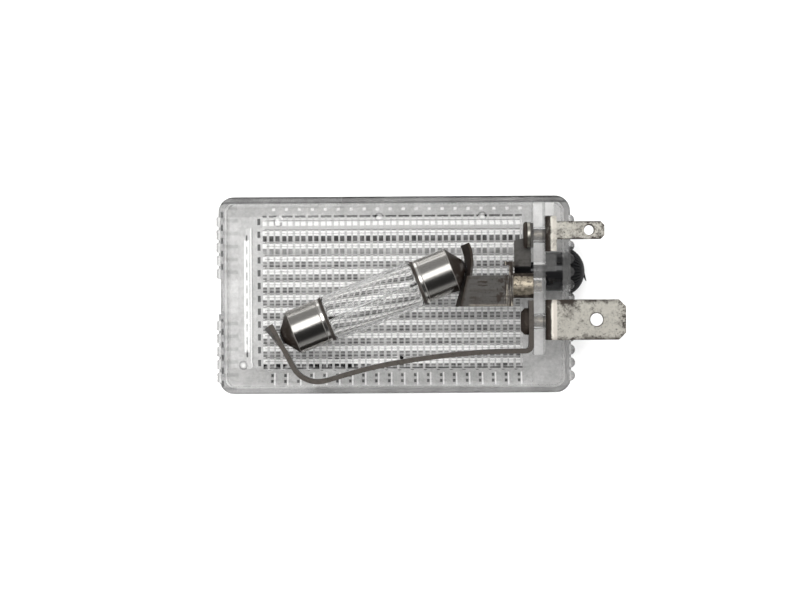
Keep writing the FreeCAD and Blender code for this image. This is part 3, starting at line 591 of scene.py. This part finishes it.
def contact_metal():
    """Dull grey bracket and leaf: rolling lines, scuffs, browned bend with pale streaks, painted shade on
    the sprung end and a paler lower edge.
    """
    finish = tarnished("contact metal", colours().contact, 0.7, 0.45, 0.42)
    x, y = finish.x, finish.y
    wobble = (finish.noise(1.4, 4.0) - 0.5) * 0.9
    lines = finish.noise(1.1, 5.0, finish.stretched((6.0, 0.5, 1.0))).ramp(0.42, 0.62)
    streaks = finish.noise(1.3, 4.0, finish.stretched((0.3, 4.0, 1.0)))
    flange = y.ramp(5.2, 5.6, 1.0, 0.0) * x.ramp(11.4, 11.8)
    bend = x.near(BRACKET_BEND_X, 0.75, 0.2) * flange
    scuffs = (y + wobble).near(2.0, 0.12, 0.06) + (y + wobble).near(1.4, 0.1, 0.06)
    scuffs = scuffs * x.near(SCUFFS_X, 0.75, 0.2)
    smears = x.near(SMEARS_X, 0.55, 0.3) * finish.noise(1.1, 4.0).ramp(0.48, 0.6)
    # Painted shade on the sprung end's face towards the bulb, carried in the film
    sprung = (x - y * 0.25).ramp(10.7, 11.3, 1.0, 0.0)
    film = finish.film + (lines * 0.4 + (scuffs + smears) * 0.85) * flange
    film = film + sprung * 0.8 + bend * streaks.ramp(0.5, 0.56)
    # A paler lower edge on the flange, and pale streaks on the bend
    edge = (y + wobble * 0.2).ramp(-1.62, -1.45, 0.3, 0.0) * flange
    tone_share = bend * streaks.ramp(0.4, 0.46, 0.7, 0.0) + edge
    return settled(finish, film, finish.mix(tone_share, finish.colour, PALE_CONTACT))


def rivet_brass():
    """Brass shanks and bush, with heads gone dark brown and painted shade along the bush's upper and lower
    edges.
    """
    finish = tarnished("tarnished brass", colours().brass, 0.8, 0.7, 0.45)
    aside = (finish.y - BUSH_Y).size()
    streaks = finish.noise(1.5, 4.0, finish.stretched((4.0, 0.4, 1.0))).ramp(0.5, 0.62)
    heads = finish.x.ramp(21.2, 21.6, 1.0, 0.0) * aside.ramp(2.2, 2.6)
    # Painted shade along the bush's upper and lower edges, carried in the film
    bands = aside.near(1.75, 0.35, 0.15)
    spots = finish.noise(1.7, 4.0).ramp(0.5, 0.62) * aside.ramp(1.6, 1.9, 0.5, 0.0)
    return settled(finish, finish.film + streaks * 0.35 + spots + heads * 0.9 + bands * 0.75)


def nickel():
    """Plated caps with dark cones and a browned rim."""
    finish = tarnished("nickel", colours().nickel, 0.35, 0.5, 0.21)
    size = sizes()
    along = (finish.x - size.bulb_x / MM) * math.cos(size.bulb_angle)
    along = (along + (finish.y - size.bulb_y / MM) * math.sin(size.bulb_angle)).size()
    cone = along.ramp(13.1, 13.5) * finish.noise(0.8).ramp(0.3, 0.55, 0.75, 1.0)
    rim = along.ramp(7.9, 8.0, 1.0, 0.0) * 0.85 + along.near(8.5, 0.07, 0.04) * 0.5
    ring = along.near(8.2, 0.16, 0.06)
    film = (finish.film * 0.6 + cone) * (1.0 - ring) + rim
    return settled(finish, film, finish.mix(ring, finish.colour, BRIGHT_NICKEL))


def select_only(piece):
    bpy.ops.object.select_all(action="DESELECT")
    piece.select_set(True)
    bpy.context.view_layer.objects.active = piece


def smooth(piece, angle):
    select_only(piece)
    bpy.ops.object.shade_smooth_by_angle(angle=math.radians(angle))


def bevelled(piece):
    """Rounds a piece's sharp edges and clears the slivers that this leaves."""
    select_only(piece)
    edge = piece.modifiers.new("edge", "BEVEL")
    edge.width = sizes().edge_bevel
    edge.segments = EDGE_SEGMENTS
    edge.limit_method = "ANGLE"
    edge.angle_limit = math.radians(EDGE_ANGLE)
    edge.use_clamp_overlap = True
    bpy.ops.object.modifier_apply(modifier=edge.name)
    bpy.ops.object.mode_set(mode="EDIT")
    bpy.ops.mesh.select_all(action="SELECT")
    bpy.ops.mesh.remove_doubles(threshold=TINY)
    bpy.ops.mesh.dissolve_degenerate(threshold=TINY)
    bpy.ops.mesh.normals_make_consistent(inside=False)
    bpy.ops.object.mode_set(mode="OBJECT")


def even_normals(piece):
    """Keeps the shading of large flat faces flat beside small bevels."""
    select_only(piece)
    weight = piece.modifiers.new("weight", "WEIGHTED_NORMAL")
    weight.keep_sharp = True
    bpy.ops.object.modifier_apply(modifier=weight.name)


def refined_copy(node, name, flat=0.0):
    """A copy of a CAD node's mesh, joined up, with triangles within the flat angle made one face."""
    piece = bpy.data.objects.new(name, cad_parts[node].data.copy())
    bpy.context.scene.collection.objects.link(piece)
    select_only(piece)
    bpy.ops.mesh.customdata_custom_splitnormals_clear()
    bpy.ops.object.mode_set(mode="EDIT")
    bpy.ops.mesh.select_all(action="SELECT")
    bpy.ops.mesh.remove_doubles(threshold=2 * TINY)
    if flat:
        bpy.ops.mesh.dissolve_limited(angle_limit=math.radians(flat))
    bpy.ops.mesh.normals_make_consistent(inside=False)
    bpy.ops.object.mode_set(mode="OBJECT")
    return piece


def hand_over(piece, body, slot, finish, *nodes):
    """Gives a finished piece its material and its body, and hides the nodes that it stands for. The slot is
    not used.
    """
    piece.data.materials.clear()
    piece.data.materials.append(finish)
    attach(piece, body)
    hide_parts(*nodes)


def turned_piece(node, name, body, slot, finish, angle=PIECE_SMOOTH):
    """Finishes a moulded, turned or drawn piece."""
    piece = refined_copy(node, name)
    smooth(piece, angle)
    hand_over(piece, body, slot, finish, node)


def sheet_piece(node, name, slot, finish):
    """Finishes a metal piece of the housing that has rounded edges and flat faces."""
    piece = refined_copy(node, name, FLAT_ANGLE)
    bevelled(piece)
    smooth(piece, PIECE_SMOOTH)
    even_normals(piece)
    hand_over(piece, "housing", slot, finish, node)


def lathe(name, profile):
    """A vertex led along the profile and spun about X, then laid where the bulb is."""
    bpy.ops.object.select_all(action="DESELECT")
    bpy.ops.mesh.primitive_plane_add(size=MM)
    piece = bpy.context.object
    piece.name = name
    bpy.ops.object.mode_set(mode="EDIT")
    bpy.ops.mesh.select_all(action="SELECT")
    bpy.ops.mesh.merge(type="CENTER")
    bpy.ops.transform.translate(value=(profile[0][0], profile[0][1], 0.0))
    for before, after in zip(profile, profile[1:]):
        step = (after[0] - before[0], after[1] - before[1], 0.0)
        bpy.ops.mesh.extrude_region_move(TRANSFORM_OT_translate={"value": step})
    bpy.ops.mesh.select_all(action="SELECT")
    bpy.ops.mesh.spin(steps=GLASS_STEPS, angle=math.tau, center=(0, 0, 0), axis=(1, 0, 0))
    bpy.ops.mesh.select_all(action="SELECT")
    bpy.ops.mesh.remove_doubles(threshold=TINY)
    bpy.ops.mesh.normals_make_consistent(inside=False)
    lay_on_bulb_axis()
    bpy.ops.object.mode_set(mode="OBJECT")
    return piece


def lay_on_bulb_axis():
    """Turns and moves what is selected from the X axis to the bulb's axis."""
    size = sizes()
    bpy.ops.mesh.select_all(action="SELECT")
    bpy.ops.transform.rotate(value=-size.bulb_angle, orient_axis="Z", center_override=(0, 0, 0))
    bpy.ops.transform.translate(value=(size.bulb_x, size.bulb_y, size.bulb_z))


class MAPLIGHT_OT_stage(bpy.types.Operator):
    """Makes the floor, the lights and the camera"""

    bl_idname = "maplight.stage"
    bl_label = "Studio"

    def execute(self, context):
        size = sizes()
        bpy.ops.mesh.primitive_plane_add(size=FLOOR_SIZE, location=(0, 0, -FLOOR_DROP))
        floor = context.object
        floor.name = "floor"
        paper = Finish("floor paper", roughness=0.9)
        paper.set(base_color=tuple(colours().floor))
        floor.data.materials.append(paper.material)
        bpy.ops.object.camera_add(
            location=(size.camera_x, size.camera_y, size.camera_height),
            rotation=(0, 0, size.camera_roll),
        )
        camera = context.object
        camera.data.lens = size.camera_lens
        camera.data.clip_start = CLIP_START
        context.scene.camera = camera
        for name, place, width, height, power, seen in LAMPS:
            bpy.ops.object.light_add(type="AREA", location=place)
            lamp = context.object
            lamp.name = name
            lamp.data.shape = "RECTANGLE"
            lamp.data.size = width
            lamp.data.size_y = height
            lamp.data.energy = power
            lamp.visible_glossy = seen
            lamp.visible_transmission = seen
            lamp.rotation_euler = (-Vector(place)).to_track_quat("-Z", "Y").to_euler()
        world = context.scene.world or bpy.data.worlds.new("studio")
        context.scene.world = world
        world.use_nodes = True
        room = Shades(world.node_tree)
        _, y, z = room.axes(room.add("ShaderNodeTexCoord", {}, {}, "Generated"))
        ceiling = z.ramp(0.3, 0.55) * y.ramp(-0.12, 0.0, 1.0, 0.0)
        background = world.node_tree.nodes["Background"]
        room.feed(background.inputs["Color"], room.mix(ceiling, ROOM_GREY, CEILING_GREY))
        room.feed(background.inputs["Strength"], 1.0)
        context.scene.view_settings.view_transform = "Standard"
        return {"FINISHED"}


class MAPLIGHT_OT_lens(bpy.types.Operator):
    """Finishes the clear lens box"""

    bl_idname = "maplight.lens"
    bl_label = "Lens box"

    def execute(self, context):
        lens = refined_copy("lens_housing", "lens_box")
        smooth(lens, LENS_SMOOTH)
        even_normals(lens)
        lens.visible_shadow = False
        hand_over(lens, "housing", "clear_plastic", clear_plastic(), "lens_housing")
        return {"FINISHED"}


def with_burr(knob):
    """Joins the thin moulding burr on the knob's face to it."""
    size = sizes()
    bpy.ops.object.select_all(action="DESELECT")
    root = size.burr_radius
    bpy.ops.mesh.primitive_cone_add(
        vertices=BURR_SIDES, radius1=root, radius2=BURR_TIP * root, depth=size.burr_length
    )
    burr = bpy.context.object
    bpy.ops.object.mode_set(mode="EDIT")
    bpy.ops.mesh.select_all(action="SELECT")
    bpy.ops.transform.resize(value=(1.0, BURR_FLATNESS, 1.0))
    bpy.ops.transform.rotate(value=math.radians(-90), orient_axis="X", center_override=(0, 0, 0))
    bpy.ops.transform.rotate(value=size.burr_lean, orient_axis="Z", center_override=(0, 0, 0))
    bpy.ops.transform.translate(value=size.burr_place)
    bpy.ops.object.mode_set(mode="OBJECT")
    select_only(knob)
    union = knob.modifiers.new("burr", "BOOLEAN")
    union.operation = "UNION"
    union.solver = "EXACT"
    union.object = burr
    bpy.ops.object.modifier_apply(modifier=union.name)
    bpy.data.objects.remove(burr)


class MAPLIGHT_OT_knob(bpy.types.Operator):
    """Finishes the turning knob and its cam"""

    bl_idname = "maplight.knob"
    bl_label = "Knob"

    def execute(self, context):
        finish = black_plastic()
        knob = refined_copy("switch_knob", "ribbed_knob")
        with_burr(knob)
        smooth(knob, PIECE_SMOOTH)
        hand_over(knob, "knob", "knob_plastic", finish, "switch_knob")
        turned_piece("switch_cam", "knob_cam", "knob", "knob_plastic", finish)
        return {"FINISHED"}


class MAPLIGHT_OT_contacts(bpy.types.Operator):
    """Finishes the switch leaf, the bracket and the long strip"""

    bl_idname = "maplight.contacts"
    bl_label = "Contacts"

    def execute(self, context):
        dull = contact_metal()
        brown = settled(tarnished("strip metal", colours().strip, 0.7, 0.5, 0.4))
        for node, name, slot, finish in (
            ("switch_leaf", "leaf_of_switch", "contact_metal", dull),
            ("contact_bracket", "bracket_of_contact", "contact_metal", dull),
            ("long_contact_strip", "strip_of_contact", "strip_metal", brown),
        ):
            sheet_piece(node, name, slot, finish)
        return {"FINISHED"}


class MAPLIGHT_OT_tabs(bpy.types.Operator):
    """Finishes the two spade tabs"""

    bl_idname = "maplight.tabs"
    bl_label = "Spade tabs"

    def execute(self, context):
        finish = tab_metal()
        for node, name in (("large_tab_terminal", "large_blade"), ("small_tab_terminal", "small_blade")):
            sheet_piece(node, name, "tab_metal", finish)
        return {"FINISHED"}


class MAPLIGHT_OT_rivets(bpy.types.Operator):
    """Finishes the rivets, the bush and the washer"""

    bl_idname = "maplight.rivets"
    bl_label = "Rivets and bush"

    def execute(self, context):
        brass = rivet_brass()
        tin = settled(tarnished("washer tin", colours().tin, 0.5, 0.5, 0.35))
        for node, name, slot, finish in (
            ("large_rivet", "rivet_large", "rivet_brass", brass),
            ("small_rivet", "rivet_small", "rivet_brass", brass),
            ("centre_rivet", "rivet_centre", "rivet_brass", brass),
            ("spacer_bush", "bush_of_spacer", "rivet_brass", brass),
            ("rivet_washer", "washer_of_rivet", "tab_metal", tin),
        ):
            sheet_piece(node, name, slot, finish)
        return {"FINISHED"}


def glass_profiles():
    """Half sections of the glass's outside and of its hollow: a tube that narrows to a neck at each end."""
    size = sizes()
    outer, neck, wall = size.glass_radius, size.glass_neck, size.glass_wall
    end, start = size.glass_end, size.cap_start
    half = [(end, neck), (start, neck)]
    for step in range(SHOULDER_STEPS + 1):
        turn = math.pi / 2 * step / SHOULDER_STEPS
        along = start - size.glass_shoulder * (1 - math.cos(turn))
        half.append((along, neck + (outer - neck) * math.sin(turn)))
    outside = half + [(-x, r) for x, r in reversed(half)]
    reach = end - wall
    inside = [(max(-reach, min(reach, x)), r - wall) for x, r in reversed(outside)]
    return [(end, 0.0), *outside, (-end, 0.0)], [(-reach, 0.0), *inside, (reach, 0.0)]


class MAPLIGHT_OT_bulb(bpy.types.Operator):
    """Makes the bulb's glass, caps, wires and solder tips"""

    bl_idname = "maplight.bulb"
    bl_label = "Festoon bulb"

    def execute(self, context):
        outside, inside = glass_profiles()
        glass = lathe("glass_tube", outside)
        inner = lathe("glass_inside", inside)
        select_only(inner)
        bpy.ops.object.mode_set(mode="EDIT")
        bpy.ops.mesh.select_all(action="SELECT")
        bpy.ops.mesh.flip_normals()
        bpy.ops.object.mode_set(mode="OBJECT")
        select_only(glass)
        inner.select_set(True)
        bpy.ops.object.join()
        smooth(glass, GLASS_SMOOTH)
        glass.visible_shadow = False
        hand_over(glass, "housing", "bulb_glass", bulb_glass(), "bulb_glass")
        plated = nickel()
        for node, name in (("bulb_cap_left", "cap_left"), ("bulb_cap_right", "cap_right")):
            turned_piece(node, name, "housing", "cap_metal", plated, CAP_SMOOTH)
        wire = settled(tarnished("drawn wire", colours().wire, 0.4, 1.0, 0.4))
        bright_wire = settled(tarnished("bright wire", colours().solder, 0.2, 1.0, 0.3))
        for node, name, finish in (
            ("lead_wire_left", "lead_left", wire),
            ("lead_wire_right", "lead_right", wire),
            ("filament", "glow_wire", bright_wire),
        ):
            turned_piece(node, name, "housing", "wire_metal", finish)
        solder = settled(tarnished("solder", colours().solder, 0.6, 1.2, 0.35))
        for node, name in (("solder_tip_left", "solder_left"), ("solder_tip_right", "solder_right")):
            turned_piece(node, name, "housing", "solder", solder)
        return {"FINISHED"}


BUILDERS = (
    MAPLIGHT_OT_stage,
    MAPLIGHT_OT_lens,
    MAPLIGHT_OT_knob,
    MAPLIGHT_OT_contacts,
    MAPLIGHT_OT_tabs,
    MAPLIGHT_OT_rivets,
    MAPLIGHT_OT_bulb,
)


class MAPLIGHT_PT_panel(bpy.types.Panel):
    """Lists the steps that build the lamp"""

    bl_idname = "MAPLIGHT_PT_panel"
    bl_label = "Map light"
    bl_space_type = "VIEW_3D"
    bl_region_type = "UI"
    bl_category = "Map light"

    def draw(self, context):
        for builder in BUILDERS:
            self.layout.operator(builder.bl_idname)


CLASSES = (MapLightSizes, MapLightColours, *BUILDERS, MAPLIGHT_PT_panel)


def register():
    for item in CLASSES:
        bpy.utils.register_class(item)
    bpy.types.Scene.map_light_sizes = bpy.props.PointerProperty(type=MapLightSizes)
    bpy.types.Scene.map_light_colours = bpy.props.PointerProperty(type=MapLightColours)


def unregister():
    del bpy.types.Scene.map_light_colours
    del bpy.types.Scene.map_light_sizes
    for item in reversed(CLASSES):
        bpy.utils.unregister_class(item)


def main():
    register()
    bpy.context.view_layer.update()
    bpy.ops.maplight.stage()
    bpy.ops.maplight.lens()
    bpy.ops.maplight.knob()
    bpy.ops.maplight.contacts()
    bpy.ops.maplight.tabs()
    bpy.ops.maplight.rivets()
    bpy.ops.maplight.bulb()


if __name__ == "__main__":
    main()
